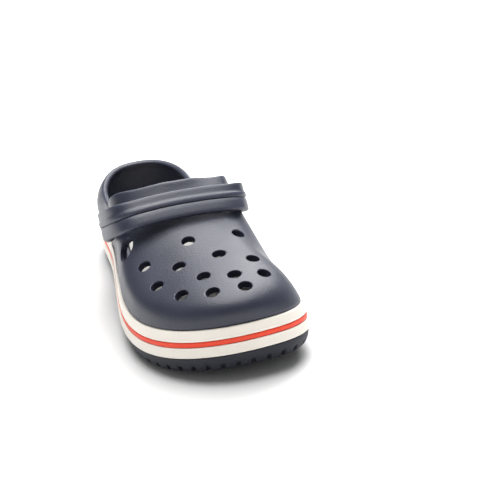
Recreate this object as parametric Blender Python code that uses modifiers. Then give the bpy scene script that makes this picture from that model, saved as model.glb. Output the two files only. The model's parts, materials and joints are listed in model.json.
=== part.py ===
"""Moulded foam garden clog for the right foot, with a swinging heel strap.

Sizes in this file are millimetres and the scene is in metres (see MM).
+X is the inner side of the foot, -Y the toe, +Z up. The origin is on the ground at the middle
of the clog's box.
"""
import math

import bmesh
import bpy
import numpy as np
from mathutils import Vector

MM = 0.001
GAP = 0.3                 # clearance between touching pieces

# Plan of the foot, as the lower edge of the midsole: heel, outer side, toe, inner side.
OUTLINE = [
    (7, 145), (-20, 134), (-32, 111), (-36, 80), (-39, 45), (-45, 11), (-51.5, -24),
    (-55.5, -60), (-50.5, -95), (-33, -124), (-6, -141), (20, -145), (40, -141.5), (54, -127.5),
    (56.3, -102), (54.8, -70), (52.2, -36), (44.5, 0), (43, 35), (45.5, 75), (44.5, 108), (32, 134),
]
AROUND = 84               # points round every ring

# Sole layers
TREAD_DEPTH = 3.6
OUTSOLE_TOP = 11.4
OUTSOLE_RINGS = [(6.6, 0.0), (4.0, 1.0), (1.8, 4.5), (1.0, 8.5), (1.4, OUTSOLE_TOP)]   # inset, z
GROOVE_LENGTH, GROOVE_WIDTH = 150, 5
GROOVE_PLACES = range(-132, 133, 22)     # y of each tread groove
MIDSOLE_BOTTOM = 11.7
MIDSOLE_TOP = 30.5
MIDSOLE_LEAN = 2.8        # how far the side of the midsole leans in
SEAT_DEPTH = 8.2          # recess in the midsole that takes the footbed
SEAT_INSET = 9.0
STRIPE_MID = 21.0
STRIPE_HEIGHT = 3.4
STRIPE_DEPTH = 2.0
TOE_SPRING, TOE_START = 10.6, -60.0
HEEL_SPRING, HEEL_START = 3.0, 90.0
SPRING_END = 145.0

# Upper shell
WALL = 5.0
FOOT_INSET = 4.0          # the upper stands in from the edge of the midsole
FLOOR = 27.0              # top of the footbed
FLOOR_INSET = 14.0
FLOOR_FILLET = (2.5, 1.5)    # inset and height of the fillet round the footbed
INSOLE_THICK = 2.4
INSOLE_INSET = 15.5

# Upper edge of the shell at each point of the outline: x, y, z.
TOPLINE = [
    (7.5, 138.5, 59.5), (-13.5, 130, 59), (-25, 108, 57.5), (-30.5, 80, 56), (-33, 50, 57.5),
    (-36.5, 24, 71), (-38, 9, 82), (-33, -1, 88.5), (-23, -7.5, 91), (-11, -10.8, 92.5),
    (-2, -12, 93), (5, -12.2, 92.5), (13, -12, 92), (20, -11, 91.2), (32, -9, 88.2),
    (42.5, -3.5, 85), (47, 7.5, 78.8), (44.5, 24, 70), (41, 50, 57.5), (41, 77, 56), (40, 107, 57.5),
    (28.5, 130, 59),
]
# Section of the shell at some points of the outline. Each is a Bezier curve from the midsole
# (0, 0) to the topline (1, 1), with two handles (along, up) and an outward bulge.
SECTIONS = {
    0: (-0.10, 0.33, 0.40, 0.75, 1.5),
    3: (-0.10, 0.33, 0.40, 0.75, 2.0),
    4: (0.10, 0.33, 0.70, 0.70, -1.6),
    5: (0.10, 0.33, 0.75, 0.60, -2.0),
    6: (0.10, 0.42, 0.72, 0.50, -1.5),
    7: (-0.02, 0.48, 0.55, 0.26, 0.0),
    9: (-0.03, 0.60, 0.60, 0.10, 0.0),
    11: (-0.05, 0.72, 0.70, 0.11, 0.0),
    13: (0.11, 0.61, 0.59, 0.25, -3.0),
    14: (0.05, 0.47, 0.35, 0.26, -3.6),
    15: (0.09, 0.43, 0.50, 0.46, 0.3),
    16: (0.24, 0.58, 0.69, 0.63, 0.5),
    17: (0.15, 0.53, 0.38, 0.80, -0.5),
    19: (-0.10, 0.33, 0.40, 0.75, 2.0),
}
SHELL_ROWS = 12           # rows of the shell from midsole to topline
RIM_ROWS = 3

# Vents
VENT_DIAMETER = 9.2
VENTS = [
    (-2, -57), (32, -58),
    (-35, -59), (-16, -78.5), (11.5, -82), (30, -97),
    (-34, -86), (-6, -101.5), (12, -111.5), (30.5, -116.5),
    (-24, -109), (-6.5, -121.5), (14, -126.5),
]
SIDE_VENT_PLACE = (-32.0, 61.0)      # y, z
SIDE_VENT_SIZE = (12.5, 17.5)
SIDE_VENT_TURN = 25.0

# Heel strap and its pivots
MIDDLE = 3.5              # x of the plane that the strap is centred on
PIVOT_Y, PIVOT_Z = 47.0, 46.5
EAR = 37.5                # outer face of the shell at a pivot, from MIDDLE
BOSS_THICK = 7.0          # flat round boss on the shell at each pivot
BOSS_RADIUS = 9.5
SPOT_FACE_CLEAR = 6.0     # the flat seat round a boss is cut this far from its faces
SPOT_FACE_MARGIN = 1.0    # and is this much wider than the strap's round end
THROUGH = 8.0             # half length of the cutters that go right through
WASHER_THICK = 0.8
WASHER_RADIUS = 9.0
STRAP_THICK = 4.6
STRAP_WIDTH = 21.0
STRAP_REACH = 87.5        # pivot to the middle of the crossing band
STRAP_RISE = 156.6        # direction of the parked strap, degrees above +Y
STRAP_BULGE = 8.0         # the arms swell outward between the pivots and the bend
STRAP_ARCH = 3.4          # the crossing band rises in its middle
STRAP_TILT = 24.0         # the crossing band lies back on the instep
STRAP_SQUARE = 7.0        # squareness of the strap's bend
STRAP_SKEW = 2.4          # the crossing band lies askew, higher on the outer side
STRAP_SWELL = (0.12, 0.5)  # parts of the reach between which the arms swell
STRAP_EDGE = 1.2          # rounding of the strap's long edges
STRAP_STEPS = 16
STRAP_IN = EAR + GAP + WASHER_THICK + GAP + 0.2
STRAP_SIDE = STRAP_IN + STRAP_THICK / 2
STEM_RADIUS = 4.0
HEAD_RADIUS = 8.5
HEAD_THICK = 2.0
HEAD_SINK = 1.6           # the button lies in a round seat in the strap
CAP_RADIUS = 7.0
CAP_THICK = 2.0
CAP_OVERLAP = 0.5         # the pin runs this far into its cap

NAVY = (0.018, 0.022, 0.045, 1.0)
DARK_NAVY = (0.010, 0.012, 0.026, 1.0)
OFF_WHITE = (0.87, 0.83, 0.76, 1.0)
RED = (0.85, 0.10, 0.04, 1.0)
PALE_GREY = (0.45, 0.44, 0.41, 1.0)


# ---------------------------------------------------------------- curves and rings

def closed_spline(knots, values, total, at):
    """Smooth closed curve through values at knots, read at the given places."""
    knots = np.asarray(knots, float)
    values = np.asarray(values, float)
    count = len(knots)
    step = np.diff(np.append(knots, knots[0] + total))
    slope = (np.roll(values, -1, axis=0) - values) / step[:, None]
    system = np.zeros((count, count))
    for i in range(count):
        system[i, i - 1] += step[i - 1]
        system[i, i] += 2 * (step[i - 1] + step[i])
        system[i, (i + 1) % count] += step[i]
    bend = np.linalg.solve(system, 6 * (slope - np.roll(slope, 1, axis=0)))
    place = np.mod(np.asarray(at, float) - knots[0], total) + knots[0]
    i = np.searchsorted(knots, place, side="right") - 1
    j = (i + 1) % count
    run = (place - knots[i])[:, None]
    span = step[i][:, None]
    start = slope[i] - span * (2 * bend[i] + bend[j]) / 6
    return values[i] + run * (start + run * (bend[i] / 2 + run * (bend[j] - bend[i]) / (6 * span)))


def chord_knots(points):
    """Distance along a closed polygon at each of its points, and all the way round."""
    points = np.asarray(points, float)
    chords = np.linalg.norm(np.roll(points, -1, axis=0) - points, axis=1)
    return np.concatenate([[0.0], np.cumsum(chords)[:-1]]), chords.sum()


KNOTS, PERIMETER = chord_knots(OUTLINE)
PLACES = np.arange(AROUND) * PERIMETER / AROUND


def lift(y):
    """Height of the sole's curve above the ground: toe spring and heel spring."""
    toe = np.clip((TOE_START - y) / (SPRING_END + TOE_START), 0, None)
    heel = np.clip((y - HEEL_START) / (SPRING_END - HEEL_START), 0, None)
    return TOE_SPRING * toe ** 2 + HEEL_SPRING * heel ** 2


def inward(loop):
    """Unit vectors that point into a closed plan loop."""
    along = np.roll(loop, -1, axis=0) - np.roll(loop, 1, axis=0)
    along /= np.linalg.norm(along, axis=1)[:, None]
    return np.stack([-along[:, 1], along[:, 0]], axis=1)


def sole_ring(inset, height):
    """Ring that follows the outline, moved in by inset, on the sole's curve."""
    loop = closed_spline(KNOTS, OUTLINE, PERIMETER, PLACES)
    loop = loop + inward(loop) * inset
    return np.column_stack([loop, height + lift(loop[:, 1])])


def ladder(ring, first):
    """Faces that close a ring with rungs from side to side, seen from above."""
    count = len(ring)
    faces = [(first, first + 1, first + count - 1)]
    for i in range(1, count // 2 - 1):
        faces.append((first + i, first + i + 1, first + count - i - 1, first + count - i))
    i = count // 2 - 1
    faces.append((first + i, first + i + 1, first + count - i))
    return faces


def loft(rings, ends="ladder"):
    """Vertices and faces of a skin over rings; ends is ladder, or closed for a ring body."""
    count = len(rings[0])
    points = np.concatenate(rings)
    faces = []
    pairs = [(k, k + 1) for k in range(len(rings) - 1)]
    if ends == "closed":
        pairs.append((len(rings) - 1, 0))
    for low, high in pairs:
        for i in range(count):
            j = (i + 1) % count
            faces.append((low * count + i, low * count + j, high * count + j, high * count + i))
    if ends == "ladder":
        faces += [face[::-1] for face in ladder(rings[0], 0)]
        faces += ladder(rings[-1], (len(rings) - 1) * count)
    return points, faces


# ---------------------------------------------------------------- scene helpers

def clear_scene():
    for obj in list(bpy.data.objects):
        bpy.data.objects.remove(obj, do_unlink=True)


def new_collection(name):
    collection = bpy.data.collections.new(name)
    bpy.context.scene.collection.children.link(collection)
    return collection


def make_material(name, colour, roughness):
    material = bpy.data.materials.new(name)
    material.use_nodes = True
    shader = material.node_tree.nodes["Principled BSDF"]
    shader.inputs["Base Color"].default_value = colour
    shader.inputs["Roughness"].default_value = roughness
    shader.inputs["Metallic"].default_value = 0.0
    return material


def make_object(name, points, faces, collection, material=None):
    """Object from points in millimetres."""
    mesh = bpy.data.meshes.new(name)
    mesh.from_pydata([tuple(p) for p in np.asarray(points) * MM], [], faces)
    mesh.shade_smooth()
    mesh.set_sharp_from_angle(angle=math.radians(40))
    obj = bpy.data.objects.new(name, mesh)
    collection.objects.link(obj)
    if material:
        mesh.materials.append(material)
    return obj


def adopt(obj, name, collection, material=None):
    """Name a new primitive and put it in its collection."""
    obj.name = name
    for other in list(obj.users_collection):
        other.objects.unlink(obj)
    collection.objects.link(obj)
    if material:
        obj.data.materials.append(material)
    return obj


def add_disc(name, radius, x_from, x_to, collection, material=None, sides=32):
    """Disc or pin along X at the strap's pivot, with x in millimetres."""
    bpy.ops.mesh.primitive_cylinder_add(
        vertices=sides, radius=radius * MM, depth=abs(x_to - x_from) * MM,
        location=((x_from + x_to) / 2 * MM, PIVOT_Y * MM, PIVOT_Z * MM),
        rotation=(0, math.pi / 2, 0))
    return adopt(bpy.context.object, name, collection, material)


def mark_cutter(obj):
    obj.hide_render = True
    obj.display_type = "WIRE"
    return obj


def cut(obj, cutter, operation="DIFFERENCE"):
    modifier = obj.modifiers.new(cutter.name, "BOOLEAN")
    modifier.operation = operation
    modifier.object = cutter
    modifier.solver = "EXACT"


def bevel(obj, width, segments=2):
    modifier = obj.modifiers.new("rounded_edges", "BEVEL")
    modifier.width = width * MM
    modifier.segments = segments
    modifier.limit_method = "ANGLE"
    modifier.angle_limit = math.radians(40)


# ---------------------------------------------------------------- sole

def build_outsole(parts, cutters, material):
    rings = [sole_ring(inset, height) for inset, height in OUTSOLE_RINGS]
    outsole = make_object("outsole", *loft(rings), parts, material)
    for number, y in enumerate(GROOVE_PLACES):
        size = (GROOVE_LENGTH, GROOVE_WIDTH, 2 * TREAD_DEPTH)
        bpy.ops.mesh.primitive_cube_add(size=1, location=(0, y * MM, lift(y) * MM))
        groove = adopt(bpy.context.object, f"tread_groove_{number}", cutters)
        groove.scale = [s * MM for s in size]
        cut(outsole, mark_cutter(groove))
    return outsole


def side_inset(height):
    """How far in the leaning side of the midsole is at a height."""
    return MIDSOLE_LEAN * (height - MIDSOLE_BOTTOM) / (MIDSOLE_TOP - MIDSOLE_BOTTOM)


def build_midsole(parts, material):
    low = STRIPE_MID - STRIPE_HEIGHT / 2 - GAP
    high = STRIPE_MID + STRIPE_HEIGHT / 2 + GAP
    deep = side_inset(STRIPE_MID) + STRIPE_DEPTH + GAP
    seat = MIDSOLE_TOP - SEAT_DEPTH
    rings = [
        sole_ring(1.2, MIDSOLE_BOTTOM), sole_ring(0.0, MIDSOLE_BOTTOM + 1.0),
        sole_ring(side_inset(low), low), sole_ring(deep, low),
        sole_ring(deep, high), sole_ring(side_inset(high), high),
        sole_ring(side_inset(MIDSOLE_TOP - 1), MIDSOLE_TOP - 1.0),
        sole_ring(MIDSOLE_LEAN + 1.0, MIDSOLE_TOP),
        sole_ring(SEAT_INSET, MIDSOLE_TOP), sole_ring(SEAT_INSET, seat),
    ]
    return make_object("midsole", *loft(rings), parts, material)


def build_stripe(parts, material):
    low = STRIPE_MID - STRIPE_HEIGHT / 2
    high = STRIPE_MID + STRIPE_HEIGHT / 2
    face = side_inset(STRIPE_MID) - 0.2
    rings = [sole_ring(face, low), sole_ring(face, high),
             sole_ring(face + STRIPE_DEPTH, high), sole_ring(face + STRIPE_DEPTH, low)]
    return make_object("accent_stripe", *loft(rings, "closed"), parts, material)


def build_insole(parts, material):
    low = FLOOR + GAP
    rings = [sole_ring(INSOLE_INSET, low),
             sole_ring(INSOLE_INSET, low + INSOLE_THICK - 0.8),
             sole_ring(INSOLE_INSET + 0.8, low + INSOLE_THICK)]
    return make_object("insole", *loft(rings), parts, material)


# ---------------------------------------------------------------- upper shell

def shell_surface(rows):
    """Outer skin of the shell as a grid of points, and its outward unit normals."""
    foot = sole_ring(FOOT_INSET, MIDSOLE_TOP + GAP)
    top = closed_spline(KNOTS, TOPLINE, PERIMETER, PLACES)
    stations = sorted(SECTIONS)
    shape = closed_spline(KNOTS[stations], [SECTIONS[k] for k in stations], PERIMETER, PLACES)
    along_1, up_1, along_2, up_2, bulge = (column[None, :] for column in shape.T)
    v = np.linspace(0, 1, rows)[:, None]
    first, second, last = 3 * (1 - v) ** 2 * v, 3 * (1 - v) * v ** 2, v ** 3
    along = first * along_1 + second * along_2 + last
    up = first * up_1 + second * up_2 + last
    out = -inward(foot[:, :2])
    plan = foot[None, :, :2] + (top - foot)[None, :, :2] * along[..., None]
    plan = plan + out[None] * (bulge * 4 * v * (1 - v))[..., None]
    height = foot[None, :, 2] + (top - foot)[None, :, 2] * up
    skin = np.concatenate([plan, height[..., None]], axis=2)
    across = np.roll(skin, -1, axis=1) - np.roll(skin, 1, axis=1)
    upward = np.gradient(skin, axis=0)
    normal = np.cross(across, upward)
    normal /= np.linalg.norm(normal, axis=2)[..., None]
    return skin, normal, upward


def build_shell(parts, cutters, material):
    skin, normal, upward = shell_surface(SHELL_ROWS)
    seat = MIDSOLE_TOP - SEAT_DEPTH + GAP
    plug = SEAT_INSET + GAP
    rings = [sole_ring(plug, seat), sole_ring(plug, MIDSOLE_TOP + GAP)]
    rings += list(skin)
    edge = skin[-1] - normal[-1] * WALL / 2
    rise = upward[-1] / np.linalg.norm(upward[-1], axis=1)[:, None]
    for step in range(1, RIM_ROWS + 1):
        turn = math.pi * step / (RIM_ROWS + 1)
        rings.append(edge + (normal[-1] * math.cos(turn) + rise * math.sin(turn)) * WALL / 2)
    inner = skin - normal * WALL
    rings += [ring for ring in inner[::-1][:SHELL_ROWS - 2]]
    rings += [sole_ring(FLOOR_INSET - FLOOR_FILLET[0], FLOOR + FLOOR_FILLET[1]),
              sole_ring(FLOOR_INSET, FLOOR)]
    shell = make_object("upper_shell", *loft(rings), parts, material)
    cut_vents(shell, cutters)
    for side, name in ((-1, "lateral"), (1, "medial")):
        build_boss(shell, side, name, cutters)
    return shell


def build_boss(shell, side, name, cutters):
    """Flat seats on both faces of the wall, with a bored round boss between them."""
    outer, inner = EAR, EAR - BOSS_THICK
    sunk = GAP / 3        # the boss stands this much proud of its seats
    for where, face, beyond in (("outer", outer - sunk, outer + SPOT_FACE_CLEAR),
                                ("inner", inner + sunk, inner - SPOT_FACE_CLEAR)):
        seat = add_disc(f"seat_{where}_{name}", STRAP_WIDTH / 2 + SPOT_FACE_MARGIN,
                        MIDDLE + side * face, MIDDLE + side * beyond, cutters, None, 24)
        cut(shell, mark_cutter(seat))
    boss = add_disc(f"pivot_boss_{name}", BOSS_RADIUS, MIDDLE + side * inner,
                    MIDDLE + side * outer, cutters, None, 24)
    cut(shell, mark_cutter(boss), "UNION")
    middle = MIDDLE + side * (outer + inner) / 2
    bore = add_disc(f"pivot_bore_{name}", STEM_RADIUS + GAP, middle - THROUGH,
                    middle + THROUGH, cutters)
    cut(shell, mark_cutter(bore))


def cut_vents(shell, cutters):
    """Round vents through the vamp, and the oval one in its outer side."""
    bpy.context.view_layer.update()
    for number, (x, y) in enumerate(VENTS):
        _, place, normal, _ = shell.ray_cast(Vector((x, y, 200)) * MM, Vector((0, 0, -1)))
        add_vent(shell, f"vent_cutter_{number}", place, normal, VENT_DIAMETER, cutters)
    y, z = SIDE_VENT_PLACE
    _, place, normal, _ = shell.ray_cast(Vector((-200, y, z)) * MM, Vector((1, 0, 0)))
    oval = add_vent(shell, "side_vent_cutter", place, normal, 1.0, cutters)
    oval.rotation_euler.rotate_axis("Z", math.radians(SIDE_VENT_TURN))
    oval.scale = (SIDE_VENT_SIZE[0], SIDE_VENT_SIZE[1], 1)


def add_vent(shell, name, place, normal, diameter, cutters):
    depth = 4 * WALL
    bpy.ops.mesh.primitive_cylinder_add(
        vertices=16, radius=diameter / 2 * MM, depth=depth * MM, location=place,
        rotation=normal.to_track_quat("Z", "Y").to_euler())
    cutter = adopt(bpy.context.object, name, cutters)
    cut(shell, mark_cutter(cutter))
    return cutter


# ---------------------------------------------------------------- strap

def smooth_step(value, low, high):
    """0 below low, 1 above high, and a smooth rise between."""
    part = min(max((value - low) / (high - low), 0.0), 1.0)
    return part * part * (3 - 2 * part)


def strap_frames():
    """Centre, width direction, outward direction and half width along the strap."""
    rise = math.radians(STRAP_RISE)
    reach_way = np.array([0, math.cos(rise), math.sin(rise)])
    width_way = np.array([0, math.sin(rise), -math.cos(rise)])
    pivot = np.array([MIDDLE, PIVOT_Y, PIVOT_Z])
    half = STRAP_WIDTH / 2
    stations = []
    for turn in np.radians([8, 26, 45, 65]):
        stations.append((-half * math.cos(turn), 1.0, 0.0, half * math.sin(turn)))
    bend = []          # steps are close together at the pivot and at the middle
    power = 2 / STRAP_SQUARE
    for part in np.linspace(0, 1, STRAP_STEPS + 1):
        turn = math.pi / 2 * part ** 3 / (part ** 3 + (1 - part) ** 3)
        side = max(math.cos(turn), 0.0) ** power if part < 1 else 0.0
        reach = math.sin(turn) ** power
        lean = math.atan2(reach ** (STRAP_SQUARE - 1) / STRAP_REACH,
                          side ** (STRAP_SQUARE - 1) / STRAP_SIDE)
        bend.append((reach * STRAP_REACH, side, lean, half))
    stations += bend
    frames = []
    for mirror in (-1, 1):
        run = stations if mirror < 0 else stations[:-1][::-1]
        for reach, side, lean, half_width in run:
            swell = STRAP_BULGE * smooth_step(reach / STRAP_REACH, *STRAP_SWELL)
            askew = -mirror * STRAP_SKEW * side * max(reach / STRAP_REACH, 0.0)
            rise_by = STRAP_ARCH * (1 - side ** 2) + askew
            centre = pivot + reach_way * reach + width_way * rise_by
            centre = centre + np.array([mirror * side * (STRAP_SIDE + swell), 0, 0])
            out = np.array([mirror * math.cos(lean), 0, 0]) + reach_way * math.sin(lean)
            tilt = math.radians(STRAP_TILT) * math.sin(lean) ** 2
            facing = out * math.cos(tilt) + width_way * math.sin(tilt)
            width = width_way * math.cos(tilt) - out * math.sin(tilt)
            frames.append((centre, width, facing, half_width))
    return frames


def build_strap(parts, cutters, material):
    """Band with rounded long edges, lofted from one pivot over the instep to the other."""
    rings = []
    half = STRAP_THICK / 2
    for centre, width, facing, half_width in strap_frames():
        flat = max(half_width - STRAP_EDGE, STRAP_EDGE / 3)
        ring = []
        for across, thick in ((-1, -1), (1, -1), (1, 1), (-1, 1)):
            corner = [(half_width, half - STRAP_EDGE), (flat, half)]
            order = corner if across * thick > 0 else corner[::-1]
            ring += [centre + width * across * w + facing * thick * t for w, t in order]
        rings.append(np.array(ring))
    count = len(rings[0])
    points, faces = loft(rings, "open")
    faces.append(tuple(range(count))[::-1])
    faces.append(tuple(range(len(points) - count, len(points))))
    strap = make_object("heel_strap", points, faces, parts, material)
    for side, name in ((-1, "lateral"), (1, "medial")):
        middle = MIDDLE + side * STRAP_SIDE
        bore = add_disc(f"strap_bore_{name}", STEM_RADIUS + GAP, middle - THROUGH,
                        middle + THROUGH, cutters)
        cut(strap, mark_cutter(bore))
        edge = STRAP_IN + STRAP_THICK
        seat = add_disc(f"button_seat_{name}", HEAD_RADIUS + GAP,
                        MIDDLE + side * (edge - HEAD_SINK), MIDDLE + side * (edge + THROUGH),
                        cutters)
        cut(strap, mark_cutter(seat))
    set_origin(strap, Vector((MIDDLE, PIVOT_Y, PIVOT_Z)) * MM)
    return strap


def set_origin(obj, place):
    """Put the object's origin on its joint axis without moving its mesh."""
    for vertex in obj.data.vertices:
        vertex.co -= place
    obj.location = place


def build_pivot(side, name, parts, material, washer_material):
    """Button outside the strap, pin with its inner cap, and slip washer."""
    seat = STRAP_IN + STRAP_THICK - HEAD_SINK
    cap_out = EAR - BOSS_THICK - GAP

    def x(distance):
        return MIDDLE + side * distance

    head = add_disc(f"rivet_head_{name}", HEAD_RADIUS, x(seat + GAP),
                    x(seat + GAP + HEAD_THICK), parts, material)
    bevel(head, 0.7)
    stem = add_disc(f"rivet_stem_{name}", STEM_RADIUS, x(cap_out - CAP_OVERLAP), x(seat),
                    parts, material, 24)
    cap = add_disc(f"rivet_cap_form_{name}", CAP_RADIUS, x(cap_out - CAP_THICK), x(cap_out),
                   cutters_of(parts), None, 24)
    cut(stem, mark_cutter(cap), "UNION")
    washer = add_disc(f"strap_washer_{name}", WASHER_RADIUS, x(EAR + GAP),
                      x(EAR + GAP + WASHER_THICK), parts, washer_material, 24)
    hole = add_disc(f"washer_bore_{name}", STEM_RADIUS + GAP, x(EAR), x(EAR + THROUGH),
                    cutters_of(parts), None, 24)
    cut(washer, mark_cutter(hole))


def cutters_of(parts):
    return bpy.data.collections[parts.name + "_cutters"]


def main():
    clear_scene()
    parts = new_collection("garden_clog")
    cutters = new_collection("garden_clog_cutters")
    foam = make_material("navy_foam", NAVY, 0.55)
    strap_foam = make_material("strap_navy_foam", NAVY, 0.52)
    rubber = make_material("dark_rubber", DARK_NAVY, 0.65)
    white = make_material("off_white_foam", OFF_WHITE, 0.5)
    red = make_material("red_foam", RED, 0.45)
    pale = make_material("pale_insole", PALE_GREY, 0.8)
    nylon = make_material("dark_nylon", DARK_NAVY, 0.35)
    build_outsole(parts, cutters, rubber)
    build_midsole(parts, white)
    build_stripe(parts, red)
    build_insole(parts, pale)
    build_shell(parts, cutters, foam)
    build_strap(parts, cutters, strap_foam)
    for side, name in ((-1, "lateral"), (1, "medial")):
        build_pivot(side, name, parts, nylon, nylon)


main()
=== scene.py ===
"""Looks of the foam garden clog: fine surfaces, materials, light and camera.

Sizes are millimetres in this file and metres in the scene (see MM), in the frame of the CAD
model: +X inner side of the foot, -Y toe, +Z up.
"""
import json
import math

import bmesh
import bpy
import numpy as np
from mathutils import Matrix, Vector


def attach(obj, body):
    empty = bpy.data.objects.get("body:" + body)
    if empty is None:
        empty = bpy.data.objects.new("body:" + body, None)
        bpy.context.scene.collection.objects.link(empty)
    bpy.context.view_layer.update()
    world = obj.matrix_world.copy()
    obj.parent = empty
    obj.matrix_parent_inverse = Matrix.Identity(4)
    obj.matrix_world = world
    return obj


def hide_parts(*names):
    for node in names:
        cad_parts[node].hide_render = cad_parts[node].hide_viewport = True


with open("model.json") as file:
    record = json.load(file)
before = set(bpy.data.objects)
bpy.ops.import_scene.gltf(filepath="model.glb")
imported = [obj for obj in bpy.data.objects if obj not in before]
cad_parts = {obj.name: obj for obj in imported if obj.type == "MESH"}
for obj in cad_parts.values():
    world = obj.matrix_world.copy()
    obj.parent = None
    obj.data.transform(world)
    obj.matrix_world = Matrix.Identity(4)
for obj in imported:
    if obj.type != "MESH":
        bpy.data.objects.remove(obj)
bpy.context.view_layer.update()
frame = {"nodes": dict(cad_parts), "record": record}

MM = 0.001
GAP = 0.3

# Plan of the foot, as the lower edge of the midsole: heel, outer side, toe, inner side.
OUTLINE = [
    (7, 145), (-20, 134), (-32, 111), (-36, 80), (-39, 45), (-45, 11), (-51.5, -24),
    (-55.5, -60), (-50.5, -95), (-33, -124), (-6, -141), (20, -145), (40, -141.5), (54, -127.5),
    (56.3, -102), (54.8, -70), (52.2, -36), (44.5, 0), (43, 35), (45.5, 75), (44.5, 108), (32, 134),
]

# Sole layers
OUTSOLE_TOP = 11.4
MIDSOLE_BOTTOM = 11.7
MIDSOLE_TOP = 30.5
MIDSOLE_LEAN = 2.8
SEAT_DEPTH = 8.2
SEAT_INSET = 9.0
STRIPE_MID = 21.0
STRIPE_HEIGHT = 3.4
STRIPE_DEPTH = 2.0
TOE_SPRING, TOE_START = 10.6, -60.0
HEEL_SPRING, HEEL_START = 3.0, 90.0
SPRING_END = 145.0

# Upper shell
WALL = 5.0
FOOT_INSET = 4.0
FOOT_EDGE = 0.5           # the flat under the shell ends this far in from its skin
FLOOR = 27.0
FLOOR_INSET = 14.0
FLOOR_FILLET = 3.0        # how far the corner of the footbed's fillet is out from the floor
FLOOR_FLAT = 1.0          # and how far in its flat starts
FILLET_STEPS = 8
INSOLE_THICK = 2.4
INSOLE_INSET = 15.5
TOPLINE = [
    (7.5, 138.5, 59.5), (-13.5, 130, 59), (-25, 108, 57.5), (-30.5, 80, 56), (-33, 50, 57.5),
    (-36.5, 24, 71), (-38, 9, 82), (-33, -1, 88.5), (-23, -7.5, 91), (-11, -10.8, 92.5),
    (-2, -12, 93), (5, -12.2, 92.5), (13, -12, 92), (20, -11, 91.2), (32, -9, 88.2),
    (42.5, -3.5, 85), (47, 7.5, 78.8), (44.5, 24, 70), (41, 50, 57.5), (41, 77, 56), (40, 107, 57.5),
    (28.5, 130, 59),
]
# Bezier handles (along, up) twice and outward bulge, at some points of the outline
SECTIONS = {
    0: (-0.10, 0.33, 0.40, 0.75, 1.5),
    3: (-0.10, 0.33, 0.40, 0.75, 2.0),
    4: (0.10, 0.33, 0.70, 0.70, -1.6),
    5: (0.10, 0.33, 0.75, 0.60, -2.0),
    6: (0.10, 0.42, 0.72, 0.50, -1.5),
    7: (-0.02, 0.48, 0.55, 0.26, 0.0),
    9: (-0.03, 0.60, 0.60, 0.10, 0.0),
    11: (-0.05, 0.72, 0.70, 0.11, 0.0),
    13: (0.11, 0.61, 0.59, 0.25, -3.0),
    14: (0.05, 0.47, 0.35, 0.26, -3.6),
    15: (0.09, 0.43, 0.50, 0.46, 0.3),
    16: (0.24, 0.58, 0.69, 0.63, 0.5),
    17: (0.15, 0.53, 0.38, 0.80, -0.5),
    19: (-0.10, 0.33, 0.40, 0.75, 2.0),
}
SHELL_AROUND = 360
SHELL_ROWS = 84
INNER_START = 0.18        # part of the rows below the one that meets the footbed's fillet
RIM_STEPS = 14
RIM_SQUARE = 0.75         # 1 is a half round rim, and less is squarer
COLLAR_WIDTH = 15.0
COLLAR_RAISE = 0.9
COLLAR_EDGE = (0.4, -1.6)            # from COLLAR_WIDTH, where the raised band starts and is full
COLLAR_GROOVE = 0.9
COLLAR_GROOVE_PLACE = 0.9            # from COLLAR_WIDTH
COLLAR_GROOVE_SPREAD = 0.8
COLLAR_ENDS = (46.0, 18.0)           # y at which the collar's relief starts and is full

VENT_RADIUS = 4.6
VENT_LIP = 0.6            # rounding of a vent's mouth
VENT_FLARE = 1.6          # the cutter flares this many lips above the mouth
VENT_THROUGH = 2.4        # and goes this many walls deep
VENT_SIDES = 40
VENTS = [
    (-2, -57), (32.8, -60),
    (-35, -59), (-16, -78.5), (11.5, -82), (30, -97),
    (-34, -86), (-6, -101.5), (12, -111.5), (30.5, -116.5),
    (-24, -109), (-6.5, -121.5), (14, -126.5),
]
SIDE_VENT_PLACE = (-32.0, 61.0)
SIDE_VENT_SIZE = (12.5, 17.5)
SIDE_VENT_TURN = 25.0
FAR = 200.0               # rays that look for the skin start this far out

# Strap and pivots
PIVOT = [value / MM for value in frame["record"]["behaviour"]["joints"][0]["pos_m"]]
EAR = 37.5
BOSS_THICK = 7.0
BOSS_RADIUS = 9.5
BOSS_SOFT = 0.6           # rounding of the boss's edges
BORE_CLEAR = 3.0          # the bore's cutter runs this far past the boss
SEAT_MARGIN = 1.0         # the flat seat round a boss is this much wider than the strap's end
SEAT_SUNK = 0.1           # the boss stands this much proud of it
SEAT_CLEAR = 6.0
WASHER_THICK = 0.8
STRAP_THICK = 4.6
STRAP_WIDTH = 21.0
STRAP_REACH = 87.5
STRAP_RISE = 156.6
STRAP_BULGE = 8.0
STRAP_ARCH = 3.4
STRAP_TILT = 24.0
STRAP_SQUARE = 7.0
STRAP_SKEW = 2.4
STRAP_SWELL = (0.12, 0.5)            # parts of the reach between which the arms swell
STRAP_RELIEF = (12.0, 24.0)          # from the pivot, where the bead and the groove fade in
STRAP_FLAT = 0.86                    # part of the half width that is flat at the pivot
STRAP_BEAD = 0.5                     # part of it that holds the bead and the groove
STRAP_STEPS = 60
STRAP_TIP = (6, 84)       # degrees round the strap's end, from its tip
STRAP_TIP_STEPS = 14
STRAP_EDGE_STEPS = 9
STRAP_IN = EAR + GAP + WASHER_THICK + GAP + 0.2
STRAP_SIDE = STRAP_IN + STRAP_THICK / 2
STEM_RADIUS = 4.0
HEAD_RADIUS = 8.5
HEAD_THICK = 2.0
HEAD_SINK = 1.6
CAP_RADIUS = 7.0
CAP_THICK = 2.0


# ---------------------------------------------------------------- curves and rings

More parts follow.
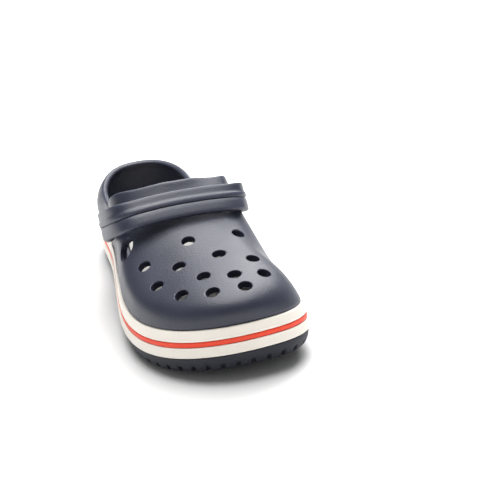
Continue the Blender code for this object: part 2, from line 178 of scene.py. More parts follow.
def closed_spline(knots, values, total, at):
    """Smooth closed curve through values at knots, read at the given places."""
    knots = np.asarray(knots, float)
    values = np.asarray(values, float)
    count = len(knots)
    step = np.diff(np.append(knots, knots[0] + total))
    slope = (np.roll(values, -1, axis=0) - values) / step[:, None]
    system = np.zeros((count, count))
    for i in range(count):
        system[i, i - 1] += step[i - 1]
        system[i, i] += 2 * (step[i - 1] + step[i])
        system[i, (i + 1) % count] += step[i]
    bend = np.linalg.solve(system, 6 * (slope - np.roll(slope, 1, axis=0)))
    place = np.mod(np.asarray(at, float) - knots[0], total) + knots[0]
    i = np.searchsorted(knots, place, side="right") - 1
    j = (i + 1) % count
    run = (place - knots[i])[:, None]
    span = step[i][:, None]
    start = slope[i] - span * (2 * bend[i] + bend[j]) / 6
    return values[i] + run * (start + run * (bend[i] / 2 + run * (bend[j] - bend[i]) / (6 * span)))


def chord_knots(points):
    """Distance along a closed polygon at each of its points, and all the way round."""
    points = np.asarray(points, float)
    chords = np.linalg.norm(np.roll(points, -1, axis=0) - points, axis=1)
    return np.concatenate([[0.0], np.cumsum(chords)[:-1]]), chords.sum()


KNOTS, PERIMETER = chord_knots(OUTLINE)


def lift(y):
    """Height of the sole's curve above the ground: toe spring and heel spring."""
    toe = np.clip((TOE_START - y) / (SPRING_END + TOE_START), 0, None)
    heel = np.clip((y - HEEL_START) / (SPRING_END - HEEL_START), 0, None)
    return TOE_SPRING * toe ** 2 + HEEL_SPRING * heel ** 2


def inward(loop):
    """Unit vectors that point into a closed plan loop."""
    along = np.roll(loop, -1, axis=0) - np.roll(loop, 1, axis=0)
    along /= np.linalg.norm(along, axis=1)[:, None]
    return np.stack([-along[:, 1], along[:, 0]], axis=1)


def sole_ring(inset, height, around=SHELL_AROUND):
    """Ring that follows the outline, moved in by inset, on the sole's curve."""
    places = np.arange(around) * PERIMETER / around
    loop = closed_spline(KNOTS, OUTLINE, PERIMETER, places)
    loop = loop + inward(loop) * np.broadcast_to(inset, (around,))[:, None]
    return np.column_stack([loop, height + lift(loop[:, 1])])


def smooth_step(value, low, high):
    """0 at low, 1 at high, smooth between; low may be above high."""
    part = np.clip((value - low) / (high - low), 0.0, 1.0)
    return part * part * (3 - 2 * part)


def skin_faces(rows, around, closed=False):
    """Quads over a stack of rings."""
    faces = []
    for k in range(rows if closed else rows - 1):
        low, high = k * around, (k + 1) % rows * around
        for i in range(around):
            j = (i + 1) % around
            faces.append((low + i, low + j, high + j, high + i))
    return faces


def floor_patch(ring, columns, shift=None):
    """Grid of rungs that closes a ring, seen from above, with a height shift(x, y)."""
    half = len(ring) // 2
    left = ring[:half + 1]
    right = np.concatenate([ring[:1], ring[:half - 1:-1]])
    share = np.linspace(0, 1, columns + 1)[None, :, None]
    grid = left[:, None] * (1 - share) + right[:, None] * share
    if shift is not None:
        grid[1:-1, 1:-1, 2] += shift(grid[1:-1, 1:-1, 0], grid[1:-1, 1:-1, 1])
    faces = []
    wide = columns + 1
    for k in range(half):
        for i in range(columns):
            a = k * wide + i
            faces.append((a, a + wide, a + wide + 1, a + 1))
    return grid.reshape(-1, 3), faces


# ---------------------------------------------------------------- objects

SHARP = 40.0              # edges sharper than this stay crisp, in degrees
WELD = 0.00001
SLIVER = 0.000001


def make_piece(name, parts, sharp=SHARP):
    """Object from pairs of points (mm) and faces; seams between the pairs are welded."""
    points, faces = [], []
    for more_points, more_faces in parts:
        first = sum(len(p) for p in points)
        points.append(np.asarray(more_points))
        faces += [tuple(first + i for i in face) for face in more_faces]
    mesh = bpy.data.meshes.new(name)
    mesh.from_pydata([tuple(p) for p in np.concatenate(points) * MM], [], faces)
    work = bmesh.new()
    work.from_mesh(mesh)
    bmesh.ops.remove_doubles(work, verts=work.verts, dist=WELD)
    bmesh.ops.dissolve_degenerate(work, dist=SLIVER, edges=work.edges)
    bmesh.ops.recalc_face_normals(work, faces=work.faces)
    work.to_mesh(mesh)
    work.free()
    mesh.shade_smooth()
    mesh.set_sharp_from_angle(angle=math.radians(sharp))
    obj = bpy.data.objects.new(name, mesh)
    bpy.context.scene.collection.objects.link(obj)
    return obj


def ring_body(rings, caps=True):
    """Point and face lists of a solid over a stack of rings, or of a ring-shaped solid."""
    around = len(rings[0])
    parts = [(np.concatenate(rings), skin_faces(len(rings), around, closed=not caps))]
    if caps:
        points, faces = floor_patch(rings[0], 1)
        parts.append((points, [face[::-1] for face in faces]))
        parts.append(floor_patch(rings[-1], 1))
    return parts


def turned(profile, sides=48):
    """Points and faces of a solid turned about Z from (radius, height) pairs."""
    turn = np.arange(sides) * 2 * math.pi / sides
    rings = [np.stack([r * np.cos(turn), r * np.sin(turn), np.full(sides, z)], axis=1)
             for r, z in profile]
    points = np.concatenate(rings)
    faces = skin_faces(len(rings), sides)
    faces.append(tuple(range(sides))[::-1])
    faces.append(tuple(range(len(points) - sides, len(points))))
    return points, faces


def placed(part, matrix):
    """The same points and faces, moved by a 4x4 matrix."""
    points, faces = part
    matrix = np.array(matrix)
    return points @ matrix[:3, :3].T + matrix[:3, 3], faces


def combine(obj, tool, operation):
    """Join or cut an object with a tool, keep the result as its mesh, and drop the tool."""
    modifier = obj.modifiers.new("combine", "BOOLEAN")
    modifier.operation = operation
    modifier.object = tool
    modifier.solver = "EXACT"
    bpy.context.view_layer.update()
    result = bpy.data.meshes.new_from_object(obj.evaluated_get(
        bpy.context.evaluated_depsgraph_get()))
    obj.modifiers.clear()
    old = obj.data
    obj.data = result
    bpy.data.meshes.remove(old)
    bpy.data.objects.remove(tool)


def cut_out(obj, parts):
    """Cut closed forms out of an object."""
    combine(obj, make_piece(obj.name + "_tool", parts), "DIFFERENCE")
    obj.data.set_sharp_from_angle(angle=math.radians(SHARP))


def dress(obj, body, node, material):
    """Give a piece its body, the CAD node that it stands for and its material."""
    obj.data.materials.clear()
    obj.data.materials.append(material)
    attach(obj, body)
    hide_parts(node)


# ---------------------------------------------------------------- materials

NAVY = (0.020, 0.023, 0.042, 1.0)
# painted highlight colour for the sharp convex edges of the navy foam
NAVY_EDGE_HIGHLIGHT = (0.10, 0.11, 0.15, 1.0)
OFF_WHITE = (0.86, 0.81, 0.73, 1.0)
RED = (0.85, 0.062, 0.022, 1.0)
TREAD_BLACK = (0.010, 0.011, 0.020, 1.0)
# painted highlight colour for the sharp convex edges of the tread
TREAD_EDGE_HIGHLIGHT = (0.04, 0.043, 0.06, 1.0)
INSOLE_GREY = (0.36, 0.35, 0.33, 1.0)
RIVET_NAVY = (0.016, 0.018, 0.034, 1.0)
WASHER_NAVY = (0.03, 0.033, 0.05, 1.0)
CLOUD_SCALE = 38.0
CELL_SCALE = 0.55         # of the grain's scale
SPECK_LIGHT = 1.9         # specks are this much lighter than the foam
CLOUD_SPAN = (0.35, 0.65)
SPECK_SPAN = (0.55, 0.75)
ROUGH_SPREAD = (-0.05, 0.06)
EDGE_HIGHLIGHT_SPAN = (0.515, 0.56) # pointiness at which the painted edge highlight starts and is full
GRAIN_HEIGHT = 0.0003     # metres


def node(tree, kind, inputs=None, **settings):
    """New node with its settings, whose inputs are given as values or as sockets to link."""
    made = tree.nodes.new(kind)
    for key, value in settings.items():
        setattr(made, key, value)
    for key, value in (inputs or {}).items():
        if isinstance(value, bpy.types.NodeSocket):
            tree.links.new(value, made.inputs[key])
        else:
            made.inputs[key].default_value = value
    return made


def blend_colours(tree, share, first, second):
    """Colour socket that goes from first to second as share goes from 0 to 1."""
    mix = node(tree, "ShaderNodeMix", data_type="RGBA")
    tree.links.new(share, mix.inputs["Factor"])
    for socket, colour in ((mix.inputs[6], first), (mix.inputs[7], second)):
        if isinstance(colour, bpy.types.NodeSocket):
            tree.links.new(colour, socket)
        else:
            socket.default_value = colour
    return mix.outputs[2]


def stretch(tree, value, low, high, to_low, to_high):
    """Socket that maps low..high to to_low..to_high and clamps outside."""
    made = node(tree, "ShaderNodeMapRange", {"Value": value, "From Min": low, "From Max": high,
                                            "To Min": to_low, "To Max": to_high})
    return made.outputs["Result"]


def scaled(colour, factor):
    """Colour times a factor, at most 1."""
    return tuple(min(c * factor, 1.0) for c in colour[:3]) + (1.0,)


def foam(name, colour, tone, rough, grain, bump, specular=0.5, edge=0.0, highlight_colour=None):
    """Moulded foam: a fine grain in the bump, cloudy colour, and a painted highlight on sharp convex
    edges.

    tone is how far the clouds go from the colour, and edge is how strong the painted edge highlight
    is.
    """
    material = bpy.data.materials.new(name)
    material.use_nodes = True
    tree = material.node_tree
    shader = tree.nodes["Principled BSDF"]
    place = node(tree, "ShaderNodeTexCoord").outputs["Object"]
    clouds = node(tree, "ShaderNodeTexNoise",
                  {"Vector": place, "Scale": CLOUD_SCALE, "Detail": 4.0, "Roughness": 0.6}).outputs[0]
    fine = node(tree, "ShaderNodeTexNoise",
                {"Vector": place, "Scale": grain, "Detail": 3.0, "Roughness": 0.65}).outputs[0]
    cells = node(tree, "ShaderNodeTexVoronoi",
                 {"Vector": place, "Scale": grain * CELL_SCALE}).outputs["Distance"]
    share = stretch(tree, clouds, *CLOUD_SPAN, 0.0, 1.0)
    tint = blend_colours(tree, share, scaled(colour, 1 - tone), scaled(colour, 1 + tone))
    speck = stretch(tree, fine, *SPECK_SPAN, 0.0, 0.35 * tone + 0.05)
    tint = blend_colours(tree, speck, tint, scaled(colour, SPECK_LIGHT))
    # painted highlight: sharp convex edges, found by pointiness, are lightened towards the edge
    # colour
    if edge:
        pointed = node(tree, "ShaderNodeNewGeometry").outputs["Pointiness"]
        edge_highlight = stretch(tree, pointed, *EDGE_HIGHLIGHT_SPAN, 0.0, edge)
        tint = blend_colours(tree, edge_highlight, tint, highlight_colour)
    tree.links.new(tint, shader.inputs["Base Color"])
    roughness = stretch(tree, clouds, 0.3, 0.7, *(rough + part for part in ROUGH_SPREAD))
    tree.links.new(roughness, shader.inputs["Roughness"])
    height = node(tree, "ShaderNodeMath", {0: fine, 1: cells}, operation="ADD").outputs[0]
    relief = node(tree, "ShaderNodeBump", {"Strength": bump, "Distance": GRAIN_HEIGHT,
                                          "Height": height})
    tree.links.new(relief.outputs[0], shader.inputs["Normal"])
    shader.inputs["Specular IOR Level"].default_value = specular
    shader.inputs["Metallic"].default_value = 0.0
    return material


def make_materials():
    """All materials; the numbers are tone, roughness, grain, bump, specular and painted edge
    highlight.
    """
    return {
        "shell": foam("shell_foam", NAVY, 0.12, 0.43, 1500.0, 0.30, 0.5, 0.35, NAVY_EDGE_HIGHLIGHT),
        "strap": foam("strap_foam", NAVY, 0.10, 0.42, 1700.0, 0.22, 0.5, 0.35, NAVY_EDGE_HIGHLIGHT),
        "white": foam("white_foam", OFF_WHITE, 0.02, 0.50, 1200.0, 0.10, 0.4),
        "red": foam("red_foam", RED, 0.05, 0.45, 1200.0, 0.08, 0.35),
        "tread": foam("tread_rubber", TREAD_BLACK, 0.15, 0.55, 900.0, 0.30, 0.4, 0.3, TREAD_EDGE_HIGHLIGHT),
        "insole": foam("insole_foam", INSOLE_GREY, 0.10, 0.80, 800.0, 0.45, 0.3),
        "rivet": foam("rivet_plastic", RIVET_NAVY, 0.06, 0.30, 700.0, 0.08, 0.5, 0.3, NAVY_EDGE_HIGHLIGHT),
        "washer": foam("washer_plastic", WASHER_NAVY, 0.08, 0.45, 700.0, 0.10),
    }


# ---------------------------------------------------------------- sole pieces

LIP = 0.25                # the band's thin lips stand this far out beside the groove
FLANK_STEPS = 4
STRIPE_PILLOW = 0.22
STRIPE_SOFT = 0.3


def side_inset(height):
    """How far in the leaning side of the midsole is at a height."""
    return MIDSOLE_LEAN * (height - MIDSOLE_BOTTOM) / (MIDSOLE_TOP - MIDSOLE_BOTTOM)


def make_midsole(material):
    """Leaning band with soft edges, thin raised lips and the groove of the stripe."""
    low = STRIPE_MID - STRIPE_HEIGHT / 2 - GAP
    high = STRIPE_MID + STRIPE_HEIGHT / 2 + GAP
    deep = side_inset(STRIPE_MID) + STRIPE_DEPTH + GAP
    profile = [(3.0, MIDSOLE_BOTTOM), (1.0, MIDSOLE_BOTTOM), (0.45, MIDSOLE_BOTTOM + 0.15),
               (0.1, MIDSOLE_BOTTOM + 0.55), (0.0, MIDSOLE_BOTTOM + 1.2)]
    profile += [(side_inset(z), z)
                for z in np.linspace(MIDSOLE_BOTTOM + 2.0, low - 1.3, FLANK_STEPS)]
    profile += [(side_inset(low) - LIP, low - 0.9), (side_inset(low) - LIP, low - 0.35),
                (side_inset(low) + 0.05, low), (deep, low), (deep, high),
                (side_inset(high) + 0.05, high), (side_inset(high) - LIP, high + 0.35),
                (side_inset(high) - LIP, high + 0.9)]
    profile += [(side_inset(z), z)
                for z in np.linspace(high + 1.3, MIDSOLE_TOP - 1.6, FLANK_STEPS)]
    profile += [(side_inset(MIDSOLE_TOP - 1.0), MIDSOLE_TOP - 1.0),
                (MIDSOLE_LEAN + 0.05, MIDSOLE_TOP - 0.45), (MIDSOLE_LEAN + 0.4, MIDSOLE_TOP - 0.1),
                (MIDSOLE_LEAN + 0.9, MIDSOLE_TOP), (SEAT_INSET, MIDSOLE_TOP),
                (SEAT_INSET, MIDSOLE_TOP - SEAT_DEPTH)]
    piece = make_piece("midsole_band", ring_body([sole_ring(i, z) for i, z in profile]), 35)
    dress(piece, "clog", "midsole", material)


def make_stripe(material):
    """Line inlaid in the midsole, slightly pillowed."""
    low = STRIPE_MID - STRIPE_HEIGHT / 2
    high = STRIPE_MID + STRIPE_HEIGHT / 2
    face = side_inset(STRIPE_MID)
    back = face + STRIPE_DEPTH
    rise = STRIPE_HEIGHT - 2 * STRIPE_SOFT
    profile = [(back, low), (face + 0.35, low), (face + 0.02, low + STRIPE_SOFT)]
    profile += [(face - STRIPE_PILLOW * math.sin(t), low + STRIPE_SOFT + rise * t / math.pi)
                for t in np.linspace(0.4, math.pi - 0.4, 5)]
    profile += [(face + 0.02, high - STRIPE_SOFT), (face + 0.35, high), (back, high)]
    rings = [sole_ring(i, z) for i, z in profile]
    piece = make_piece("midsole_stripe", ring_body(rings, caps=False), 50)
    dress(piece, "clog", "accent_stripe", material)


TREAD_LUGS = 66
TREAD_AROUND = 16 * TREAD_LUGS
TREAD_COLUMNS = 40
TREAD_NOTCH = 2.6         # height of the notches between the lugs
TREAD_NOTCH_IN = 0.8      # and how far in they go
NOTCH_SPAN = (0.70, 0.92) # height of a wave round the edge between which a notch rises
GROOVE_SPAN = (0.66, 0.9) # and of a wave along the foot, for a groove
TREAD_PITCH = 11.5        # of the chevron grooves, along the foot
TREAD_DEPTH = 3.0
CHEVRON_MIDDLE, CHEVRON_HALF, CHEVRON_RISE = 2.0, 26.0, 4.5
# Edge of the tread: inset, height, and share of the notch
TREAD_EDGE = [
    (9.0, 0.0, 0.0), (7.0, 0.0, 0.6), (6.0, 0.25, 1.0), (5.0, 0.9, 1.0),
    (3.9, 2.0, 0.9), (3.0, 3.4, 0.5), (2.3, 5.0, 0.15), (1.7, 6.8, 0.0),
    (1.35, 8.6, 0.0), (1.25, 10.2, 0.0), (1.4, 11.0, 0.0), (1.9, OUTSOLE_TOP, 0.0),
]


def tread_pattern(x, y):
    """Depth of the chevron grooves that run across under the sole."""
    wave = y + CHEVRON_RISE * np.abs(((x - CHEVRON_MIDDLE) / CHEVRON_HALF + 0.5) % 2 - 1)
    across = 0.5 + 0.5 * np.cos(2 * math.pi * wave / TREAD_PITCH)
    return TREAD_DEPTH * smooth_step(across, *GROOVE_SPAN)


def make_outsole(material):
    """Dark tread with a scalloped lower edge and a grooved underside."""
    turn = np.arange(TREAD_AROUND) / TREAD_AROUND
    notch = smooth_step(0.5 + 0.5 * np.cos(2 * math.pi * turn * TREAD_LUGS), *NOTCH_SPAN)
    rings = []
    for inset, height, share in TREAD_EDGE:
        ring = sole_ring(inset + TREAD_NOTCH_IN * share * notch, 0.0, TREAD_AROUND)
        ring[:, 2] += height + TREAD_NOTCH * share * notch
        rings.append(ring)
    parts = [(np.concatenate(rings), skin_faces(len(rings), TREAD_AROUND))]
    points, faces = floor_patch(rings[0], TREAD_COLUMNS, tread_pattern)
    parts.append((points, [face[::-1] for face in faces]))
    parts.append(floor_patch(rings[-1], 1))
    piece = make_piece("outsole_tread", parts, 50)
    dress(piece, "clog", "outsole", material)


INSOLE_AROUND = 180
DOT_RADIUS = 0.75
DOT_DEPTH = 1.0
DOT_SIDES = 10
DOT_PITCH = 9.0
DOT_ROWS, DOT_COLUMNS = range(-13, 13), range(-4, 6)
DOT_MARGIN = 3.0          # no perforation is nearer to the insole's edge


def make_insole(material):
    """Pale footbed with small round perforations."""
    low = FLOOR + GAP
    high = low + INSOLE_THICK
    profile = [(INSOLE_INSET, low), (INSOLE_INSET, high - 0.8), (INSOLE_INSET + 0.25, high - 0.25),
               (INSOLE_INSET + 0.8, high)]
    rings = [sole_ring(i, z, INSOLE_AROUND) for i, z in profile]
    piece = make_piece("footbed_insole", ring_body(rings), 40)
    dot = turned([(DOT_RADIUS, -DOT_DEPTH), (DOT_RADIUS, 3 * DOT_DEPTH)], DOT_SIDES)
    dots = []
    for row in DOT_ROWS:
        for column in DOT_COLUMNS:
            x = column * DOT_PITCH + (DOT_PITCH / 2 if row % 2 else 0)
            y = row * DOT_PITCH
            if inside(rings[-1], x, y, DOT_MARGIN):
                place = Matrix.Translation((x, y, high + lift(y)))
                dots.append(placed(dot, place))
    cut_out(piece, dots)
    dress(piece, "clog", "insole", material)


def inside(ring, x, y, margin):
    """Whether a point lies inside a plan ring by at least a margin."""
    near = np.linalg.norm(ring[:, :2] - (x, y), axis=1).min()
    cross = 0
    after = np.roll(ring, -1, axis=0)
    for (x1, y1, _), (x2, y2, _) in zip(ring, after):
        if (y1 > y) != (y2 > y) and x < x1 + (y - y1) * (x2 - x1) / (y2 - y1):
            cross += 1
    return cross % 2 == 1 and near > margin


# ---------------------------------------------------------------- upper shell

def shell_skin():
    """Outer skin of the shell, its normals, its upward tangents, and its topline."""
    foot = sole_ring(FOOT_INSET, MIDSOLE_TOP + GAP)
    places = np.arange(SHELL_AROUND) * PERIMETER / SHELL_AROUND
    top = closed_spline(KNOTS, TOPLINE, PERIMETER, places)
    stations = sorted(SECTIONS)
    shape = closed_spline(KNOTS[stations], [SECTIONS[k] for k in stations], PERIMETER, places)
    along_1, up_1, along_2, up_2, bulge = (column[None, :] for column in shape.T)
    v = np.linspace(0, 1, SHELL_ROWS)[:, None]
    first, second, last = 3 * (1 - v) ** 2 * v, 3 * (1 - v) * v ** 2, v ** 3
    along = first * along_1 + second * along_2 + last
    up = first * up_1 + second * up_2 + last
    out = -inward(foot[:, :2])
    plan = foot[None, :, :2] + (top - foot)[None, :, :2] * along[..., None]
    plan = plan + out[None] * (bulge * 4 * v * (1 - v))[..., None]
    height = foot[None, :, 2] + (top - foot)[None, :, 2] * up
    skin = np.concatenate([plan, height[..., None]], axis=2)
    upward = np.gradient(skin, axis=0)
    normal = np.cross(np.roll(skin, -1, axis=1) - np.roll(skin, 1, axis=1), upward)
    normal /= np.linalg.norm(normal, axis=2)[..., None]
    upward /= np.linalg.norm(upward, axis=2)[..., None]
    return skin, normal, upward, top


def collar_relief(skin, top):
    """Height of the raised collar band and its groove over the plain skin."""
    steps = np.linalg.norm(np.diff(skin, axis=0), axis=2)
    below = np.concatenate([np.cumsum(steps[::-1], axis=0)[::-1], np.zeros((1, skin.shape[1]))])
    front = smooth_step(top[:, 1], *COLLAR_ENDS)[None, :]
    band = smooth_step(below, *(COLLAR_WIDTH + part for part in COLLAR_EDGE))
    off = below - COLLAR_WIDTH - COLLAR_GROOVE_PLACE
    groove = np.exp(-(off / COLLAR_GROOVE_SPREAD) ** 2)
    return front * (COLLAR_RAISE * band - COLLAR_GROOVE * groove)


def shell_rings():
    """Rings from the plug under the shell, over the skin and rim, to the footbed inside."""
    skin, normal, upward, top = shell_skin()
    relief = collar_relief(skin, top)
    outer = skin + normal * relief[..., None]
    seat = MIDSOLE_TOP - SEAT_DEPTH + GAP
    plug = SEAT_INSET + GAP
    rings = [sole_ring(plug, seat), sole_ring(plug, MIDSOLE_TOP + GAP),
             sole_ring(FOOT_INSET + FOOT_EDGE, MIDSOLE_TOP + GAP)]
    rings += list(outer[1:])
    raised = relief[-1][:, None]
    half = (WALL + raised) / 2
    edge = outer[-1] - normal[-1] * half
    for step in range(1, RIM_STEPS):
        turn = math.pi * step / RIM_STEPS
        side = math.copysign(abs(math.cos(turn)) ** RIM_SQUARE, math.cos(turn))
        rise = math.sin(turn) ** RIM_SQUARE
        rings.append(edge + normal[-1] * side * half + upward[-1] * rise * WALL / 2)
    start = int(round(INNER_START * SHELL_ROWS))
    inner = skin - normal * WALL
    rings += list(inner[start:][::-1])
    rings += footbed_fillet(inner[start])
    return rings


def footbed_fillet(wall):
    """Rings of the soft corner from the inner wall to the footbed."""
    flat = sole_ring(FLOOR_INSET + FLOOR_FLAT, FLOOR)
    corner = (wall + sole_ring(FLOOR_INSET - FLOOR_FILLET, FLOOR)) / 2
    corner[:, 2] = FLOOR + lift(corner[:, 1])
    rings = []
    for share in np.linspace(0, 1, FILLET_STEPS + 1)[1:]:
        rings.append(wall * (1 - share) ** 2 + corner * 2 * share * (1 - share)
                     + flat * share ** 2)
    return rings


def vent_tool():
    """Cutter with a rounded mouth, along Z, whose mouth is at the origin."""
    wide = VENT_RADIUS + VENT_LIP * VENT_FLARE
    profile = [(VENT_RADIUS, -VENT_THROUGH * WALL), (VENT_RADIUS, -VENT_LIP)]
    for turn in np.linspace(0, math.pi / 2, 5)[1:]:
        profile.append((VENT_RADIUS + VENT_LIP * (1 - math.cos(turn)),
                        -VENT_LIP * (1 - math.sin(turn))))
    profile += [(wide, VENT_LIP), (wide, WALL)]
    return turned(profile, VENT_SIDES)


def upright(place, normal, turn=0.0):
    """Matrix that puts a cutter's Z on a normal at a place, both in millimetres."""
    spin = Matrix.Rotation(turn, 4, "Z")
    return Matrix.Translation(place) @ normal.to_track_quat("Z", "Y").to_matrix().to_4x4() @ spin


def make_shell(material):
    """One-piece upper: vamp, collar, heel cup and footbed, with its vents."""
    piece = make_piece("clog_upper", ring_body(shell_rings()))
    bpy.context.view_layer.update()
    tools = []
    for x, y in VENTS:
        _, place, normal, _ = piece.ray_cast(Vector((x, y, FAR)) * MM, Vector((0, 0, -1)))
        tools.append(placed(vent_tool(), upright(place / MM, normal)))
    y, z = SIDE_VENT_PLACE
    _, place, normal, _ = piece.ray_cast(Vector((-FAR, y, z)) * MM, Vector((1, 0, 0)))
    wide, tall = (size / 2 / VENT_RADIUS for size in SIDE_VENT_SIZE)
    oval = Matrix.Diagonal((wide, tall, 1, 1))
    tools.append(placed(vent_tool(),
                        upright(place / MM, normal, math.radians(SIDE_VENT_TURN)) @ oval))
    low, high = EAR - BOSS_THICK + SEAT_SUNK, EAR - SEAT_SUNK
    for side in (-1, 1):
        seat = STRAP_WIDTH / 2 + SEAT_MARGIN
        tools.append(disc(side, seat, high, EAR + SEAT_CLEAR))
        tools.append(disc(side, seat, EAR - BOSS_THICK - SEAT_CLEAR, low))
    cut_out(piece, tools)
    for side in (-1, 1):
        add_boss(piece, side)
    dress(piece, "clog", "upper_shell", material)


def pivot_matrix(side):
    """Z of a turned form becomes the outward direction at a pivot."""
    turn = Matrix.Rotation(side * math.pi / 2, 4, "Y")
    return Matrix.Translation(PIVOT) @ turn


def disc(side, radius, low, high):
    """Plain disc at a pivot between two distances from the strap's middle plane."""
    return placed(turned([(radius, low), (radius, high)]), pivot_matrix(side))


def add_boss(piece, side):
    """Flat round boss with a bore and soft edges, joined to the wall."""
    low, high = EAR - BOSS_THICK, EAR
    narrow = BOSS_RADIUS - BOSS_SOFT
    profile = [(narrow, low), (BOSS_RADIUS, low + BOSS_SOFT), (BOSS_RADIUS, high - BOSS_SOFT),
               (narrow, high)]
    boss = make_piece("boss_form", [placed(turned(profile), pivot_matrix(side))])
    combine(piece, boss, "UNION")
    cut_out(piece, [disc(side, STEM_RADIUS + GAP, low - BORE_CLEAR, high + BORE_CLEAR)])


# ---------------------------------------------------------------- strap and pivots

def strap_frames():
    """Centre, width and outward directions, half width and reach from the pivot, in steps."""
    rise = math.radians(STRAP_RISE)
    reach_way = np.array([0, math.cos(rise), math.sin(rise)])
    width_way = np.array([0, math.sin(rise), -math.cos(rise)])
    pivot = np.array(PIVOT)
    half = STRAP_WIDTH / 2
    stations = []
    for turn in np.radians(np.linspace(*STRAP_TIP, STRAP_TIP_STEPS)):
        stations.append((-half * math.cos(turn), 1.0, 0.0, half * math.sin(turn)))
    power = 2 / STRAP_SQUARE
    for part in np.linspace(0, 1, STRAP_STEPS + 1):
        turn = math.pi / 2 * part ** 3 / (part ** 3 + (1 - part) ** 3)
        side = max(math.cos(turn), 0.0) ** power if part < 1 else 0.0
        reach = math.sin(turn) ** power
        lean = math.atan2(reach ** (STRAP_SQUARE - 1) / STRAP_REACH,
                          side ** (STRAP_SQUARE - 1) / STRAP_SIDE)
        stations.append((reach * STRAP_REACH, side, lean, half))
    frames = []
    for mirror in (-1, 1):
        run = stations if mirror < 0 else stations[:-1][::-1]
        for reach, side, lean, half_width in run:
            swell = STRAP_BULGE * smooth_step(reach / STRAP_REACH, *STRAP_SWELL)
            askew = -mirror * STRAP_SKEW * side * max(reach / STRAP_REACH, 0.0)
            rise_by = STRAP_ARCH * (1 - side ** 2) + askew
            centre = pivot + reach_way * reach + width_way * rise_by
            centre = centre + np.array([mirror * side * (STRAP_SIDE + swell), 0, 0])
            out = np.array([mirror * math.cos(lean), 0, 0]) + reach_way * math.sin(lean)
            tilt = math.radians(STRAP_TILT) * math.sin(lean) ** 2
            facing = out * math.cos(tilt) + width_way * math.sin(tilt)
            width = width_way * math.cos(tilt) - out * math.sin(tilt)
            frames.append((centre, width, facing, half_width, reach))
    return frames


def strap_profile():
    """Section of the strap as (across, out), front edge at -1: two flats, a bead, a groove."""
    half = STRAP_THICK / 2
    turns = np.linspace(0, math.pi, STRAP_EDGE_STEPS)
    edge = [(-0.86 - 0.14 * math.sin(t), -half * math.cos(t)) for t in turns]
    face = [(-0.72, half + 0.10), (-0.45, half + 0.18), (-0.22, half + 0.12),
            (-0.14, half - 0.10), (-0.115, half - 0.80), (-0.085, half - 0.80),
            (-0.06, half - 0.05), (-0.03, half + 0.35), (0.04, half + 0.62), (0.13, half + 0.72),
            (0.22, half + 0.68), (0.29, half + 0.50), (0.325, half + 0.20), (0.36, half + 0.02),
            (0.50, half + 0.02), (0.72, half + 0.04)]
    back_edge = [(0.88 + 0.12 * math.sin(t), half * math.cos(t)) for t in turns]
    inside_face = [(0.5, -half), (0.0, -half), (-0.5, -half)]
    return edge + face + back_edge + inside_face


def make_strap(material):
    """Heel strap, lofted from one pivot over the instep to the other."""
    profile = strap_profile()
    half = STRAP_THICK / 2
    rings = []
    for centre, width, facing, half_width, reach in strap_frames():
        relief = float(smooth_step(reach, *STRAP_RELIEF))
        ring = []
        for across, out in profile:
            flat_out = max(min(out, half), -half) if abs(across) < STRAP_FLAT else out
            if abs(across) < STRAP_BEAD:
                flat_out = math.copysign(half, out)
            level = out * relief + flat_out * (1 - relief)
            ring.append(centre + width * across * half_width + facing * level)
        rings.append(np.array(ring))
    count = len(profile)
    points = np.concatenate(rings)
    faces = skin_faces(len(rings), count)
    faces.append(tuple(range(count))[::-1])
    faces.append(tuple(range(len(points) - count, len(points))))
    piece = make_piece("swinging_strap", [(points, faces)], 50)
    tools = []
    edge = STRAP_IN + STRAP_THICK
    for side in (-1, 1):
        seat = [(STEM_RADIUS + GAP, STRAP_IN - 3), (STEM_RADIUS + GAP, edge - HEAD_SINK),
                (HEAD_RADIUS + GAP, edge - HEAD_SINK), (HEAD_RADIUS + GAP, edge - 0.25),
                (HEAD_RADIUS + GAP + 0.25, edge + 0.05), (HEAD_RADIUS + GAP + 0.25, edge + 5)]
        tools.append(placed(turned(seat), pivot_matrix(side)))
    cut_out(piece, tools)
    dress(piece, "strap", "heel_strap", material)


# Button from its rim to its middle, as (radius, height over its back), and the inner cap of
# the pin from its middle outward, as (radius less CAP_RADIUS, height over the cap's back)
BUTTON = [
    (HEAD_RADIUS - 0.3, 0.0), (HEAD_RADIUS, 0.3), (HEAD_RADIUS, 1.2), (HEAD_RADIUS - 0.25, 1.65),
    (HEAD_RADIUS - 0.8, 1.95), (HEAD_RADIUS - 1.6, HEAD_THICK), (6.0, HEAD_THICK), (5.7, 1.75),
    (5.3, 1.7), (5.0, 1.9), (3.5, HEAD_THICK - 0.02), (0.4, HEAD_THICK + 0.06),
]
CAP = [(-2.2, 0.0), (-0.8, 0.25), (-0.2, 0.8), (0.0, CAP_THICK - 0.5), (-0.3, CAP_THICK)]
PIN_SOFT = 0.3
BUTTON_SIDES = 64


def make_pivots(materials):
    """Button, pin with its inner cap, and washer on each side."""
    seat = STRAP_IN + STRAP_THICK - HEAD_SINK + GAP
    cap = EAR - BOSS_THICK - GAP
    head = [(radius, seat + height) for radius, height in BUTTON]
    stem = [(CAP_RADIUS + radius, cap - CAP_THICK + height) for radius, height in CAP]
    stem += [(STEM_RADIUS, cap), (STEM_RADIUS, seat - GAP - PIN_SOFT),
             (STEM_RADIUS - PIN_SOFT, seat - GAP)]
    for side, name in ((-1, "lateral"), (1, "medial")):
        matrix = pivot_matrix(side)
        button = make_piece(f"rivet_button_{name}", [placed(turned(head, BUTTON_SIDES), matrix)], 50)
        dress(button, "clog", f"rivet_head_{name}", materials["rivet"])
        pin = make_piece(f"rivet_pin_{name}", [placed(turned(stem), matrix)], 50)
        dress(pin, "clog", f"rivet_stem_{name}", materials["rivet"])
        washer = frame["nodes"][f"strap_washer_{name}"]
        washer.data.materials.clear()
        washer.data.materials.append(materials["washer"])


# ---------------------------------------------------------------- floor, light, camera

